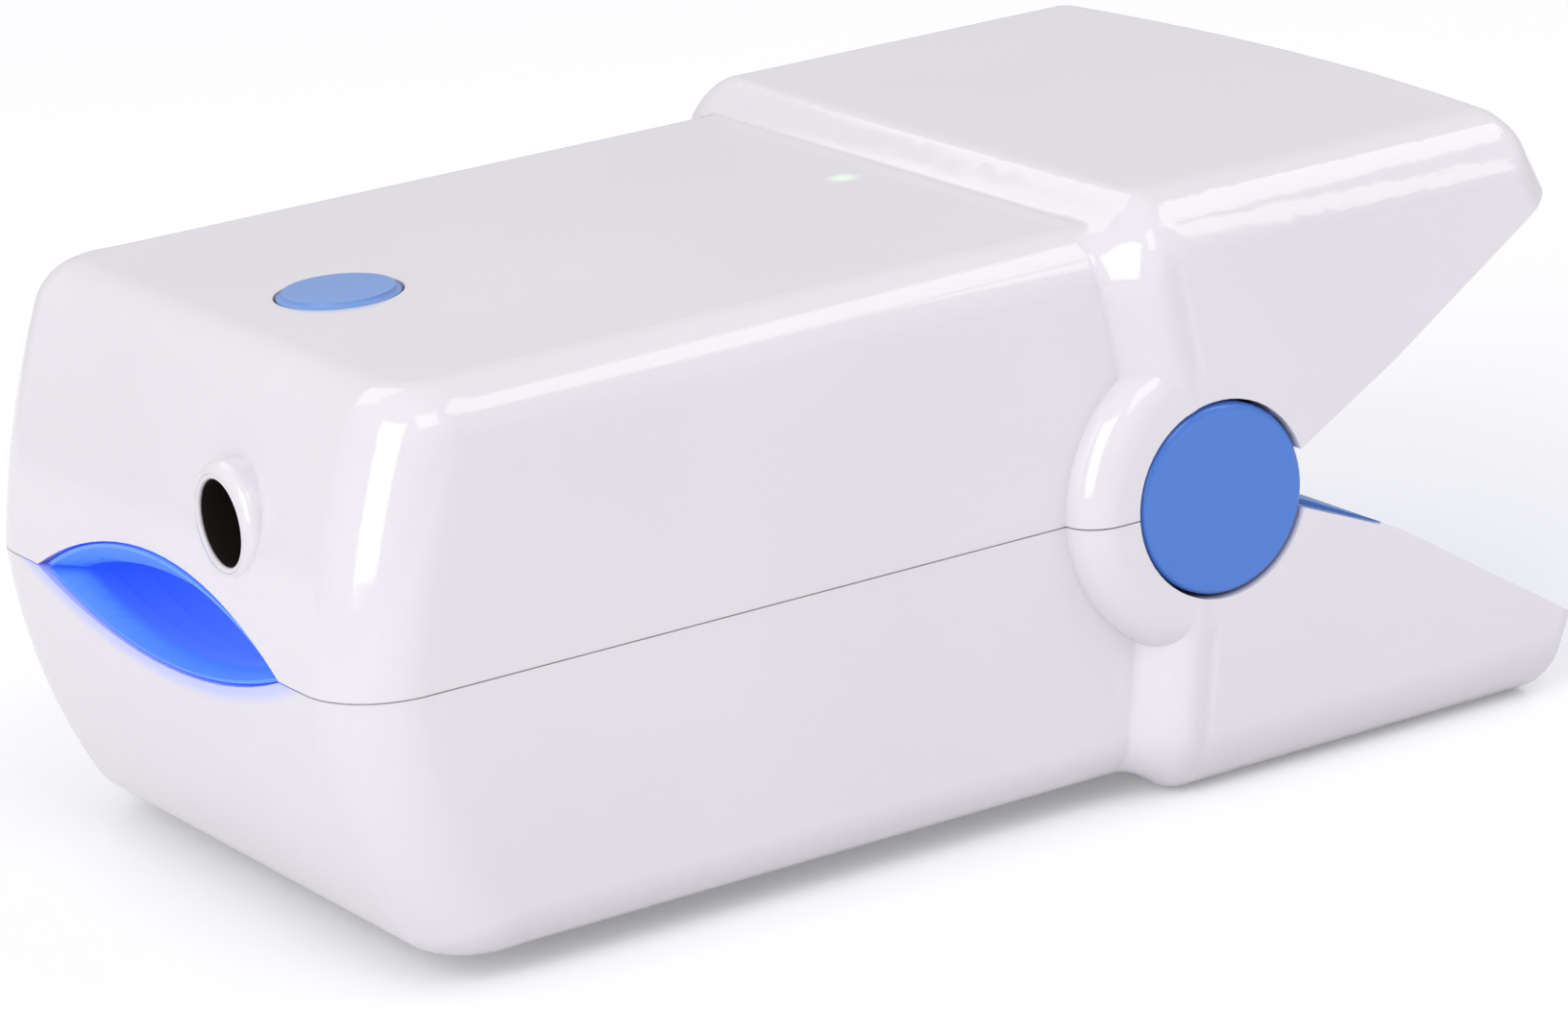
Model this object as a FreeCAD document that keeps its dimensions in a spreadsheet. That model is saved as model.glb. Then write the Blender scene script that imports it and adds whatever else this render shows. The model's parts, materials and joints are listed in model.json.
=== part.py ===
import FreeCAD, Part
import math
import os
import Sketcher
from FreeCAD import Placement, Rotation, Vector

# A hand-sized spring clip that holds a finger or toe nail under blue light. Every piece is drawn about
# the hinge: x runs from the mouth (negative) to the handles (positive), y across, z up, and the hinge
# axis lies along y through the origin. Each piece's Placement then stands the clip on its lower handle,
# centred on its box. Sizes are millimetres.

doc = FreeCAD.newDocument("nail_light_clip")
sheet = doc.addObject("Spreadsheet::Sheet", "sizes")


class Size:
    """A number that remembers the sheet formula it comes from, so a size can be bound to a property."""

    def __init__(self, value, text):
        self.value = value
        self.text = text

    def __add__(self, other):
        other = as_size(other)
        return Size(self.value + other.value, f"({self.text} + {other.text})")

    def __sub__(self, other):
        other = as_size(other)
        return Size(self.value - other.value, f"({self.text} - {other.text})")

    def __mul__(self, other):
        other = as_size(other)
        return Size(self.value * other.value, f"({self.text} * {other.text})")

    def __truediv__(self, other):
        other = as_size(other)
        return Size(self.value / other.value, f"({self.text} / {other.text})")

    def __neg__(self):
        return Size(-self.value, f"(0 - {self.text})")


def as_size(number):
    if isinstance(number, Size):
        return number
    return Size(float(number), repr(float(number)))


cells = []


def cell(name, value):
    """One driving dimension: a plain number in the sheet, under a name."""
    place = f"A{len(cells) + 1}"
    sheet.set(place, repr(value))
    sheet.setAlias(place, name)
    cells.append(name)
    return Size(value, f"sizes.{name}")


# casing
body_half_width = cell("body_half_width", 26.0)
body_half_height = cell("body_half_height", 18.5)
handle_half_width = cell("handle_half_width", 28.5)
handle_top = cell("handle_top", 20.5)
handle_bottom = cell("handle_bottom", 20.2)
nose_reach = cell("nose_reach", 63.3)
nose_lean_top = cell("nose_lean_top", 5.1)
nose_lean_bottom = cell("nose_lean_bottom", 5.7)
nose_curve_top = cell("nose_curve_top", 62.0)
nose_curve_bottom = cell("nose_curve_bottom", 40.0)
front_corner = cell("front_corner", 5.5)
top_edge = cell("top_edge", 4.0)
bottom_edge = cell("bottom_edge", 3.4)
handle_edge = cell("handle_edge", 5.0)
wall = cell("wall", 2.0)
front_wall = cell("front_wall", 3.6)
rear_reach = cell("rear_reach", 30.8)
rear_bulge = cell("rear_bulge", 2.3)
rear_slant = 25.0
rear_edge_top = cell("rear_edge_top", 2.0)
rear_edge_bottom = cell("rear_edge_bottom", 0.8)
rear_corner_top = cell("rear_corner_top", 3.4)
rear_corner_bottom = cell("rear_corner_bottom", 1.6)
step_slant = 9.0
step_start = cell("step_start", 5.0)
step_length = cell("step_length", 5.6)

# hinge
boss_face = cell("boss_face", 8.2)
boss_foot = cell("boss_foot", 10.7)
cap_radius = cell("cap_radius", 6.4)
cap_gap = cell("cap_gap", 0.25)
cap_thick = cell("cap_thick", 1.9)
pin_radius = cell("pin_radius", 1.2)
pin_fit = cell("pin_fit", 0.05)
ear_radius = cell("ear_radius", 4.0)
ear_thick = cell("ear_thick", 1.6)
pipe_inner = cell("pipe_inner", 4.5)
plate = cell("plate", 1.6)
seam = cell("seam", 0.05)
shelf = cell("shelf", 0.3)
side_gap = cell("side_gap", 0.3)
coil_radius = cell("coil_radius", 2.0)
coil_wire = cell("coil_wire", 0.45)
coil_pitch = cell("coil_pitch", 1.5)
coil_leg = cell("coil_leg", 13.0)
coil_start = cell("coil_start", 8.5)

# the V between the handles
vee_near = cell("vee_near", 6.36)
vee_near_rise = cell("vee_near_rise", 2.0)
vee_kink = cell("vee_kink", 14.34)
vee_kink_top = cell("vee_kink_top", 6.4)
vee_kink_bottom = cell("vee_kink_bottom", 5.4)
vee_tip = cell("vee_tip", 27.5)
vee_tip_top = cell("vee_tip_top", 14.7)
vee_tip_bottom = cell("vee_tip_bottom", 13.93)

# mouth and finger channel
mouth_half = cell("mouth_half", 17.0)
mouth_rise = cell("mouth_rise", 4.4)
mouth_drop = cell("mouth_drop", 3.0)
channel_half = cell("channel_half", 16.6)
channel_back = cell("channel_back", 19.0)
hood_rise = cell("hood_rise", 4.6)
trough_drop = cell("trough_drop", 6.2)
arch_plate = cell("arch_plate", 1.2)
rim_nose = cell("rim_nose", 62.85)
rim_front = cell("rim_front", 61.4)
rim_thick = cell("rim_thick", 1.5)
liner_front = cell("liner_front", 58.2)
liner_half_top = cell("liner_half_top", 15.8)
liner_half_bottom = cell("liner_half_bottom", 16.0)
rim_rise = cell("rim_rise", 2.6)
rim_drop = cell("rim_drop", 2.4)
rim_half = cell("rim_half", 14.0)
pad_thick = cell("pad_thick", 1.35)

# controls and lights
button_x = cell("button_x", 47.9)
button_radius = cell("button_radius", 4.05)
button_gap = cell("button_gap", 0.2)
button_proud = cell("button_proud", 0.3)
light_x = cell("light_x", 9.5)
light_radius = cell("light_radius", 1.2)
jack_y = cell("jack_y", 9.4)
jack_z = cell("jack_z", 8.4)
jack_bore = cell("jack_bore", 2.8)
jack_neck = cell("jack_neck", 3.15)
jack_collar = cell("jack_collar", 4.0)
jack_face = cell("jack_face", 62.6)
jack_front = cell("jack_front", 57.0)
jack_long = cell("jack_long", 10.0)
window_x = cell("window_x", 34.0)
window_long = cell("window_long", 20.0)
window_wide = cell("window_wide", 16.0)

# inside the upper jaw
board_level = cell("board_level", 12.0)
board_thick = cell("board_thick", 1.0)
emitter_level = cell("emitter_level", 9.4)
cell_radius = cell("cell_radius", 4.95)
cell_long = cell("cell_long", 44.0)
cell_x = cell("cell_x", 12.0)
screw_front = cell("screw_front", 55.0)
screw_rear = cell("screw_rear", 22.0)
screw_y = cell("screw_y", 20.4)
screw_radius = cell("screw_radius", 0.95)
post_radius = cell("post_radius", 2.6)

# where the hinge axis stands in the clip's own frame
pivot_x = cell("pivot_x", 16.7)
pivot_z = cell("pivot_z", 20.2)
doc.recompute()

bodies = []


def bind(thing, prop, size):
    """A property takes its number and its formula from one size."""
    size = as_size(size)
    setattr(thing, prop, size.value)
    thing.setExpression(prop, size.text)


def stand(part, label):
    """A finished sub-part: its label names its file, and its placement stands it on the handle."""
    part.Label = label
    part.Placement = Placement(Vector(pivot_x.value, 0, pivot_z.value), Rotation())
    part.setExpression("Placement.Base.x", pivot_x.text)
    part.setExpression("Placement.Base.z", pivot_z.text)
    bodies.append(part)
    return part


def new_body(label):
    return stand(doc.addObject("PartDesign::Body", label), label)


def plane(body, role):
    return [o for o in body.Origin.OriginFeatures if o.Role == role][0]


def add_sketch(body, name, role, offset=0.0, tilt=0.0):
    """A sketch on an origin plane of its body, moved along the plane's normal, or tilted about y."""
    sketch = body.newObject("Sketcher::SketchObject", name)
    sketch.AttachmentSupport = (plane(body, role), "")
    sketch.MapMode = "FlatFace"
    offset = as_size(offset)
    sketch.AttachmentOffset = Placement(Vector(0, 0, offset.value), Rotation(Vector(1, 0, 0), tilt))
    sketch.setExpression("AttachmentOffset.Base.z", offset.text)
    return sketch


def pin_point(sketch, index, end, point):
    """Two constraints that hold one end of one piece of outline at its place."""
    for name, axis, size in (("DistanceX", -2, as_size(point[0])), ("DistanceY", -1, as_size(point[1]))):
        if abs(size.value) < 1e-9:
            sketch.addConstraint(Sketcher.Constraint("PointOnObject", index, end, axis))
        else:
            number = sketch.addConstraint(Sketcher.Constraint(name, -1, 1, index, end, size.value))
            sketch.setExpression(f"Constraints[{number}]", size.text)


def arc_through(start, end, radius):
    """The short arc between two points; a positive radius bulges to the left of the way from start to end."""
    ahead = end - start
    half = ahead.Length / 2
    size = max(abs(radius), half * 1.0001)
    rise = size - math.sqrt(size * size - half * half)
    left = Vector(-ahead.y, ahead.x, 0).normalize()
    side = left if radius > 0 else left * -1
    middle = start + ahead * 0.5 + side * rise
    return Part.Arc(end, middle, start) if radius > 0 else Part.Arc(start, middle, end)


def outline(sketch, points):
    """A closed outline. Each point is (x, y) for a straight run to it, or (x, y, radius) for an arc to it."""
    count = len(points)
    ends = [Vector(as_size(p[0]).value, as_size(p[1]).value, 0) for p in points]
    starts = []
    for k in range(count):
        start = ends[k - 1]
        end = ends[k]
        radius = as_size(points[k][2]).value if len(points[k]) > 2 else 0.0
        if radius:
            index = sketch.addGeometry(arc_through(start, end, radius))
        else:
            index = sketch.addGeometry(Part.LineSegment(start, end))
        forward = radius <= 0
        starts.append((index, 1 if forward else 2, 2 if forward else 1))
    for k in range(count):
        index, _, end = starts[k]
        following, begin, _ = starts[(k + 1) % count]
        sketch.addConstraint(Sketcher.Constraint("Coincident", index, end, following, begin))
        pin_point(sketch, index, end, points[k])
        if len(points[k]) > 2:
            size = as_size(points[k][2])
            number = sketch.addConstraint(Sketcher.Constraint("Radius", index, abs(size.value)))
            sketch.setExpression(f"Constraints[{number}]", size.text if size.value > 0 else (-size).text)
    return sketch


def circle(sketch, centre, radius):
    x, y, radius = as_size(centre[0]), as_size(centre[1]), as_size(radius)
    index = sketch.addGeometry(Part.Circle(Vector(x.value, y.value, 0), Vector(0, 0, 1), radius.value))
    number = sketch.addConstraint(Sketcher.Constraint("Radius", index, radius.value))
    sketch.setExpression(f"Constraints[{number}]", radius.text)
    pin_point(sketch, index, 3, centre)
    return sketch


def rectangle(sketch, low, high):
    return outline(sketch, [(high[0], low[1]), (high[0], high[1]), (low[0], high[1]), (low[0], low[1])])


def pad(body, sketch, length, both=False, back=False):
    feature = body.newObject("PartDesign::Pad", f"{sketch.Name}_pad")
    feature.Profile = sketch
    feature.SideType = "Symmetric" if both else "One side"
    feature.Reversed = back
    bind(feature, "Length", length)
    doc.recompute()
    return feature


def pocket(body, sketch, length, both=False, back=False, slant=None):
    """A cut. It reports when nothing was taken away, because a cut that points outwards shows no error."""
    before = body.Shape.Volume
    feature = body.newObject("PartDesign::Pocket", f"{sketch.Name}_cut")
    feature.Profile = sketch
    feature.SideType = "Symmetric" if both else "One side"
    feature.Reversed = back
    if slant:
        feature.UseCustomVector = True
        feature.Direction = slant
    bind(feature, "Length", length)
    doc.recompute()
    if not body.Shape.Volume < before - 1e-6:
        raise ValueError(f"{feature.Name} in {body.Label} cuts nothing")
    return feature


def revolve(body, sketch, axis, angle=360.0, back=False):
    feature = body.newObject("PartDesign::Revolution", f"{sketch.Name}_turn")
    feature.Profile = sketch
    feature.ReferenceAxis = (sketch, [axis])
    feature.Angle = angle
    feature.Reversed = back
    doc.recompute()
    return feature


def turn(body, sketch, start, end):
    """A full turn about a construction line of its own between two points of the sketch."""
    middle = sketch.addGeometry(Part.LineSegment(*(Vector(*(as_size(v).value for v in p), 0) for p in (start, end))),
                                True)
    pin_point(sketch, middle, 1, start)
    pin_point(sketch, middle, 2, end)
    feature = body.newObject("PartDesign::Revolution", f"{sketch.Name}_turn")
    feature.Profile = sketch
    feature.ReferenceAxis = (sketch, ["Axis0"])
    feature.Angle = 360
    doc.recompute()
    return feature


def loft(body, sketches, ruled):
    feature = body.newObject("PartDesign::AdditiveLoft", f"{sketches[0].Name}_loft")
    feature.Profile = sketches[0]
    feature.Sections = sketches[1:]
    feature.Ruled = ruled
    doc.recompute()
    return feature


def round_edges(body, name, radius, wanted):
    """Round every edge of the body's tip whose middle point passes the test."""
    base = body.Tip
    chosen = []
    for number, edge in enumerate(base.Shape.Edges, 1):
        middle = edge.valueAt((edge.FirstParameter + edge.LastParameter) / 2)
        if wanted(middle, edge):
            chosen.append(f"Edge{number}")
    if not chosen:
        raise ValueError(f"{name} in {body.Label} finds no edge")
    feature = body.newObject("PartDesign::Fillet", name)
    feature.Base = (base, chosen)
    bind(feature, "Radius", radius)
    doc.recompute()
    return feature


def rounded_section(body, name, offset, tilt, half_width, height, radius, up):
    """Half of a rounded rectangle that stands on the parting plane, for the handle's loft."""
    sketch = add_sketch(body, name, "YZ_Plane", offset, tilt)
    level = height * (up / math.cos(math.radians(tilt)))
    corner = radius * up
    outline(sketch, [
        (half_width, 0),
        (half_width, level - corner),
        (half_width - radius, level, radius * -up),
        (-half_width + radius, level),
        (-half_width, level - corner, radius * -up),
        (-half_width, 0),
    ])
    return sketch


def arch_radius(half, rise):
    """Radius of an arch of the given half width and rise."""
    return half * half / (rise * 2) + rise / 2


def arch(sketch, half, rise, base, up):
    """A closed arch: a straight base and one arc above it, or below it when up is -1."""
    return outline(sketch, [
        (half, base * up),
        (-half, base * up, arch_radius(half, rise - base) * -up),
    ])


def build_shell(label, up, height, full_height, lean, curve, edge, heel, corner, near_rise, kink_rise, tip_rise,
                gape):
    """One half of the casing. up is 1 for the upper half and -1 for the lower one."""
    body = new_body(label)

    # the front block: its side profile across the width, then its corners and edges rounded
    side = add_sketch(body, f"{label}_side", "XZ_Plane")
    outline(side, [
        (-nose_reach, 0),
        (-nose_reach + lean, height * up, curve * up),
        (4, height * up),
        (4, 0),
    ])
    pad(body, side, body_half_width * 2, both=True)
    near_front = -(nose_reach - lean).value
    round_edges(body, f"{label}_corners", front_corner,
                lambda m, e: m.x < near_front and abs(abs(m.y) - body_half_width.value) < 0.01)
    round_edges(body, f"{label}_rim", edge,
                lambda m, e: abs(abs(m.z) - height.value) < 0.01 and m.x < 3.9)

    # the handle: a soft step out of the front block, then straight to the rear
    steps = 5
    sections = []
    for k in range(steps + 1):
        run = k / steps
        wide = min(1.0, run / 0.6)
        tall = max(0.0, (run - 0.3) / 0.7)
        wide = wide * wide * (3 - 2 * wide)
        tall = tall * tall * (3 - 2 * tall)
        half = body_half_width - 0.1 + (handle_half_width - body_half_width + 0.1) * wide
        level = height - 0.1 + (full_height - height + 0.1) * tall
        rounding = edge + (handle_edge - edge) * run
        sections.append(rounded_section(body, f"{label}_step{k}", -step_start + step_length * run,
                                        -step_slant * up, half, level, rounding, up))
    loft(body, sections, False)
    first = rounded_section(body, f"{label}_arm0", -step_start + step_length, -step_slant * up,
                            handle_half_width, full_height, handle_edge, up)
    last = rounded_section(body, f"{label}_arm1", rear_reach + 3, 0, handle_half_width, full_height,
                           handle_edge, up)
    loft(body, [first, last], True)

    # the rear face: bulged in plan and leaning in towards the top
    rear = add_sketch(body, f"{label}_rear", "XY_Plane", tip_rise * up)
    half = handle_half_width + 1
    bend = handle_half_width - corner
    chord = rear_reach - rear_bulge * 0.8
    outline(rear, [
        (rear_reach + 22, -half),
        (rear_reach + 22, half),
        (chord - corner, half),
        (chord - corner, handle_half_width),
        (chord, bend, corner * 1.02),
        (chord, -bend, arch_radius(bend, rear_bulge * 0.8)),
        (chord - corner, -handle_half_width, corner * 1.02),
        (chord - corner, -half),
    ])
    lean_back = math.radians(rear_slant)
    pocket(body, rear, 60, both=True, slant=Vector(-math.sin(lean_back), 0, up * math.cos(lean_back)))
    round_edges(body, f"{label}_heel", heel,
                lambda m, e: m.x > 24 and e.Length > 2 and abs(m.z) > (full_height - handle_edge - 0.2).value
                and abs(m.y) < handle_half_width.value - 0.01)

    # the round boss that carries the hinge cap
    boss = add_sketch(body, f"{label}_boss", "XY_Plane")
    swell = boss_foot - boss_face
    outline(boss, [
        (0, -handle_half_width),
        (boss_face, -handle_half_width),
        (boss_foot, -handle_half_width + swell, -swell),
        (boss_foot, handle_half_width - swell),
        (boss_face, handle_half_width, -swell),
        (0, handle_half_width),
    ])
    revolve(body, boss, "V_Axis", 180.0, back=up > 0)

    # the V between the handles
    vee = add_sketch(body, f"{label}_vee", "XZ_Plane")
    inner_slope = (kink_rise - near_rise) / (vee_kink - vee_near)
    outer_slope = (tip_rise - kink_rise) / (vee_tip - vee_kink)
    outline(vee, [
        (4, -2 * up),
        (4, (near_rise - inner_slope * (vee_near - 4)) * up),
        (vee_near, near_rise * up),
        (vee_kink, kink_rise * up),
        (vee_tip + 12, (tip_rise + outer_slope * 12) * up),
        (vee_tip + 12, -2 * up),
    ])
    pocket(body, vee, handle_half_width * 2 + 2, both=True)

    # the hollow, first the front block's and then the handle's
    inside = add_sketch(body, f"{label}_inside", "XZ_Plane")
    ceiling = height - wall
    outline(inside, [
        (-nose_reach + front_wall, -1 * up),
        (-nose_reach + front_wall, 0),
        (-nose_reach + front_wall + lean - 0.8, ceiling * up, curve * up),
        (3, ceiling * up),
        (3, -1 * up),
    ])
    pocket(body, inside, (body_half_width - wall) * 2, both=True)
    room = add_sketch(body, f"{label}_room", "XZ_Plane")
    roof = full_height - wall
    outline(room, [
        (2.2, -1 * up),
        (2.2, roof * up),
        (rear_reach - 6.4, roof * up),
        (rear_reach - 4.5, tip_rise * up),
        (rear_reach - 3.6, (tip_rise - 2) * up),
        (rear_reach - 3.6, -1 * up),
    ])
    pocket(body, room, (handle_half_width - wall - 0.5) * 2, both=True)

    # the round hole for the hinge cap
    hole = add_sketch(body, f"{label}_cap_hole", "XZ_Plane")
    circle(hole, (0, 0), cap_radius + cap_gap)
    pocket(body, hole, handle_half_width * 2 + 2, both=True)

    # the mouth: a pointed arch through the front wall and a wider rebate behind it for the pad's rim
    mouth = add_sketch(body, f"{label}_mouth", "YZ_Plane", -nose_reach - 1)
    arch(mouth, mouth_half, gape, 0, up)
    pocket(body, mouth, front_wall + 2, back=True)
    rebate = add_sketch(body, f"{label}_rebate", "YZ_Plane", -rim_front - 0.2)
    arch(rebate, mouth_half + 1.6, gape + 2.0, 0, up)
    pocket(body, rebate, front_wall, back=True)

    # posts for the screws that hold the inner frame
    foot = shelf + plate + 0.05
    screw_depth = 8
    posts = add_sketch(body, f"{label}_posts", "XY_Plane", foot * up)
    holes = add_sketch(body, f"{label}_post_holes", "XY_Plane", foot * up)
    for x in (screw_front, screw_rear):
        for side_sign in (-1, 1):
            circle(posts, (-x, screw_y * side_sign), post_radius)
            circle(holes, (-x, screw_y * side_sign), screw_radius + 0.05)
    pad(body, posts, ceiling - foot + 0.3, back=up < 0)
    pocket(body, holes, screw_depth, back=up > 0)

    # the seam: both halves stop just short of the parting plane
    trim = add_sketch(body, f"{label}_seam", "XY_Plane")
    rectangle(trim, (-nose_reach - 2, -handle_half_width - 1), (12, handle_half_width + 1))
    pocket(body, trim, seam, back=up > 0)
    return body


upper_shell = build_shell("upper_shell", 1, body_half_height, handle_top, nose_lean_top, nose_curve_top,
                          top_edge, rear_edge_top, rear_corner_top, vee_near_rise, vee_kink_top, vee_tip_top,
                          mouth_rise)
lower_shell = build_shell("lower_shell", -1, body_half_height, handle_bottom, nose_lean_bottom,
                          nose_curve_bottom, bottom_edge, rear_edge_bottom, rear_corner_bottom,
                          vee_near_rise, vee_kink_bottom, vee_tip_bottom, mouth_drop)


def assemble(label, solids):
    """A sub-part made of primitives, as a group, so that its own placement stays free."""
    group = doc.addObject("Part::Compound", label)
    group.Links = solids
    doc.recompute()
    return stand(group, label)


def box(name, low, high):
    """A block between two corners given in the hinge frame."""
    thing = doc.addObject("Part::Box", name)
    for prop, a, b in (("Length", low[0], high[0]), ("Width", low[1], high[1]), ("Height", low[2], high[2])):
        bind(thing, prop, as_size(b) - a)
    place(thing, low)
    return thing


def place(thing, spot, turn=None):
    spot = [as_size(v) for v in spot]
    thing.Placement = Placement(Vector(*(v.value for v in spot)), turn or Rotation())
    for axis, v in zip("xyz", spot):
        thing.setExpression(f"Placement.Base.{axis}", v.text)
    return thing


ALONG = {"x": Rotation(Vector(0, 1, 0), 90), "y": Rotation(Vector(1, 0, 0), -90), "z": Rotation()}


def rod(name, start, radius, length, axis):
    """A round bar from a point along x, y or z."""
    thing = doc.addObject("Part::Cylinder", name)
    bind(thing, "Radius", radius)
    bind(thing, "Height", length)
    return place(thing, start, ALONG[axis])


def cone(name, start, radius, end_radius, length, axis):
    thing = doc.addObject("Part::Cone", name)
    bind(thing, "Radius1", radius)
    bind(thing, "Radius2", end_radius)
    bind(thing, "Height", length)
    return place(thing, start, ALONG[axis])


def fuse(name, things):
    joined = doc.addObject("Part::MultiFuse", name)
    joined.Shapes = things
    return joined


def cut(name, base, tool):
    thing = doc.addObject("Part::Cut", name)
    thing.Base = base
    thing.Tool = tool
    return thing


def build_frame(label, up, near, kink, tip, pipe_end, pipe_back, rise, ear_at):
    """The blue inner frame of one jaw: a deck, an arch over the channel, a half pipe round the pin,
    and the panel that closes the handle."""
    body = new_body(label)
    deck_low = shelf
    deck_high = shelf + plate
    half = body_half_width - wall - side_gap
    slope = (kink - near) / (vee_kink - vee_near)
    angle = math.atan(slope.value)
    back_x = plate * math.sin(angle)
    back_z = plate * math.cos(angle)
    strip = add_sketch(body, f"{label}_strip", "XZ_Plane")
    front = liner_front
    outline(strip, [
        (-front, deck_low * up),
        (-pipe_inner, deck_low * up),
        (pipe_end[0], pipe_end[1] * up, pipe_inner * up),
        (vee_near, near * up),
        (vee_near + 0.6, (near + slope * 0.6) * up),
        (vee_near + 0.6 - back_x, (near + slope * 0.6 + back_z) * up),
        (pipe_back[0], pipe_back[1] * up),
        (-pipe_inner - plate + 0.3, deck_high * up, (pipe_inner + plate) * -up),
        (-front, deck_high * up),
    ])
    pad(body, strip, half * 2, both=True)
    panel = add_sketch(body, f"{label}_panel", "XZ_Plane")
    tip_x = vee_tip - 1.2
    outer = (tip - kink) / (vee_tip - vee_kink)
    tip_low = tip - outer * 1.2
    start = vee_near + 0.1
    outline(panel, [
        (start, (near + slope * 0.1) * up),
        (vee_kink, kink * up),
        (tip_x, tip_low * up),
        (tip_x - back_x, (tip_low + back_z) * up),
        (vee_kink - back_x, (kink + back_z) * up),
        (start, (near + slope * 0.1 + back_z + back_x * slope) * up),
    ])
    pad(body, panel, (handle_half_width - wall - 0.5 - side_gap) * 2, both=True)

    # the arch over the finger channel, closed at its inner end
    vault = add_sketch(body, f"{label}_vault", "YZ_Plane", -front)
    arch(vault, channel_half + arch_plate + 0.4, rise + arch_plate, shelf, up)
    pad(body, vault, front - channel_back + 1.6)
    channel = add_sketch(body, f"{label}_channel", "YZ_Plane", -front - 1)
    arch(channel, channel_half, rise, 0, up)
    pocket(body, channel, front - channel_back + 1, back=True)

    # the bearing ears, each hung from the half pipe by a web
    for side_sign in (-1, 1):
        low = ear_at if side_sign < 0 else -ear_at - ear_thick
        ear = add_sketch(body, f"{label}_ear{side_sign + 1}", "XZ_Plane", low)
        circle(ear, (0, 0), ear_radius)
        pad(body, ear, ear_thick)
        web = add_sketch(body, f"{label}_web{side_sign + 1}", "XZ_Plane", low)
        rectangle(web, (-2.8, 0.4 * up if up > 0 else -5.2), (2.8, 5.2 if up > 0 else -0.4))
        pad(body, web, ear_thick)
    bore = add_sketch(body, f"{label}_bore", "XZ_Plane")
    circle(bore, (0, 0), pin_radius + pin_fit)
    pocket(body, bore, handle_half_width * 2, both=True)

    # screw holes through the deck, with a recess for each head
    holes = add_sketch(body, f"{label}_holes", "XY_Plane", deck_high * up)
    recesses = add_sketch(body, f"{label}_recesses", "XY_Plane", (shelf + 0.95) * up)
    for x in (screw_front, screw_rear):
        for side_sign in (-1, 1):
            circle(holes, (-x, screw_y * side_sign), screw_radius + 0.15)
            circle(recesses, (-x, screw_y * side_sign), screw_radius * 1.9 + 0.1)
    pocket(body, holes, plate * 2 + 0.2, both=True)
    pocket(body, recesses, 1.2, back=up < 0)
    return body


upper_frame = build_frame("upper_frame", 1, as_size(2.15), vee_kink_top + 0.2, vee_tip_top + 0.1,
                          (4.25, 1.47), (5.13, 3.3), hood_rise, as_size(20.2))
lower_frame = build_frame("lower_frame", -1, as_size(1.55), vee_kink_bottom - 0.05, vee_tip_bottom + 0.15,
                          (4.36, 1.13), (5.39, 2.86), trough_drop, as_size(22.1))

# the window seat on top of the upper frame, with two posts for the emitter board
seat = add_sketch(upper_frame, "window_seat", "XY_Plane", hood_rise + 0.1)
seat_long = window_long / 2 + 2.2
seat_wide = window_wide / 2 + 1.6
rectangle(seat, (-window_x - seat_long, -seat_wide), (-window_x + seat_long, seat_wide))
pad(upper_frame, seat, 2.3)
rest = add_sketch(upper_frame, "window_rest", "XY_Plane", hood_rise + 2.4)
rectangle(rest, (-window_x - window_long / 2, -window_wide / 2), (-window_x + window_long / 2, window_wide / 2))
pocket(upper_frame, rest, 1.0)
view = add_sketch(upper_frame, "window_view", "XY_Plane", hood_rise + 2.4)
rectangle(view, (-window_x - window_long / 2 + 1.4, -window_wide / 2 + 1.4),
          (-window_x + window_long / 2 - 1.4, window_wide / 2 - 1.4))
pocket(upper_frame, view, 8)
stands = add_sketch(upper_frame, "board_stands", "XY_Plane", hood_rise + 2.3)
for end_sign in (-1, 1):
    for side_sign in (-1, 1):
        circle(stands, (-window_x + (window_long / 2 + 1.1) * end_sign, 6 * side_sign), 1.0)
pad(upper_frame, stands, emitter_level - hood_rise - 2.3)


def build_pad(label, up, rise, half, rim, room, gape):
    """The soft liner of one jaw: an arched sheet, closed in front by a rim that fills the mouth and
    slopes inwards like a funnel."""
    body = new_body(label)
    outer = rise - 0.1
    liner = add_sketch(body, f"{label}_liner", "YZ_Plane", -liner_front - 0.15)
    arch(liner, half, outer, 0.35, up)
    pad(body, liner, liner_front - channel_back - 0.15)
    lip = add_sketch(body, f"{label}_lip", "YZ_Plane", -rim_front)
    arch(lip, mouth_half + 0.9, room, 0.15, up)
    pad(body, lip, rim_front - liner_front - 0.05)
    nose = add_sketch(body, f"{label}_nose", "YZ_Plane", -rim_nose)
    arch(nose, mouth_half - 0.75, gape - 0.15, 0.15, up)
    pad(body, nose, rim_nose - rim_front + 0.3)
    hollow = add_sketch(body, f"{label}_hollow", "YZ_Plane", -liner_front + 0.8)
    arch(hollow, half - pad_thick, outer - pad_thick, 0, up)
    pocket(body, hollow, liner_front - channel_back - 2.4, back=True)
    wide = add_sketch(body, f"{label}_wide", "YZ_Plane", -rim_nose - 0.05)
    arch(wide, mouth_half - 1.0, gape - 0.3, 0, up)
    narrow = add_sketch(body, f"{label}_narrow", "YZ_Plane", -rim_front)
    arch(narrow, rim_half, rim, 0, up)
    funnel = body.newObject("PartDesign::SubtractiveLoft", f"{label}_funnel")
    funnel.Profile = wide
    funnel.Sections = [narrow]
    funnel.Ruled = True
    doc.recompute()
    mouth = add_sketch(body, f"{label}_mouth_hole", "YZ_Plane", -rim_front - 0.05)
    arch(mouth, rim_half, rim, 0, up)
    pocket(body, mouth, rim_front - liner_front + 1.2, back=True)
    relief = add_sketch(body, f"{label}_relief", "YZ_Plane", -rim_front + rim_thick)
    arch(relief, rim_half + 0.8, rim + 1.0, 0, up)
    pocket(body, relief, rim_front - liner_front - rim_thick + 1.2, back=True)
    return body


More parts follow.
